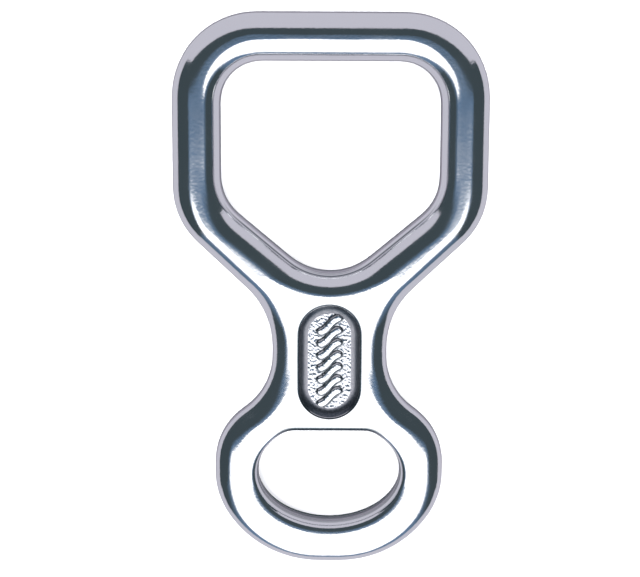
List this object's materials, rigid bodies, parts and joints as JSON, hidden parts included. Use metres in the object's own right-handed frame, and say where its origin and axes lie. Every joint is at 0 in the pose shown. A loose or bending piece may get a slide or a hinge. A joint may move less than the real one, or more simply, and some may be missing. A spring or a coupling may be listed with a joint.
{
  "type": "figure-eight belay device",
  "caption": "Flat forged belay and abseil device with a five-sided rope ring, a waisted neck with a sunk panel, and a smaller oval eye for a carabiner.",
  "frame": {"origin": "on the surface that the back rests on, under the middle of the outline", "axes": "+X across the device, +Y from the carabiner eye to the rope ring, +Z out of the front, the side with the sunk panel"},
  "size_m": [0.07, 0.1252, 0.012],
  "materials": {
    "polished_aluminium": "bright polished faces, satin belt round the edges, grained floor in the sunk panel"
  },
  "bodies": {
    "root": {"descender_body": "polished_aluminium"}
  },
  "joints": []
}
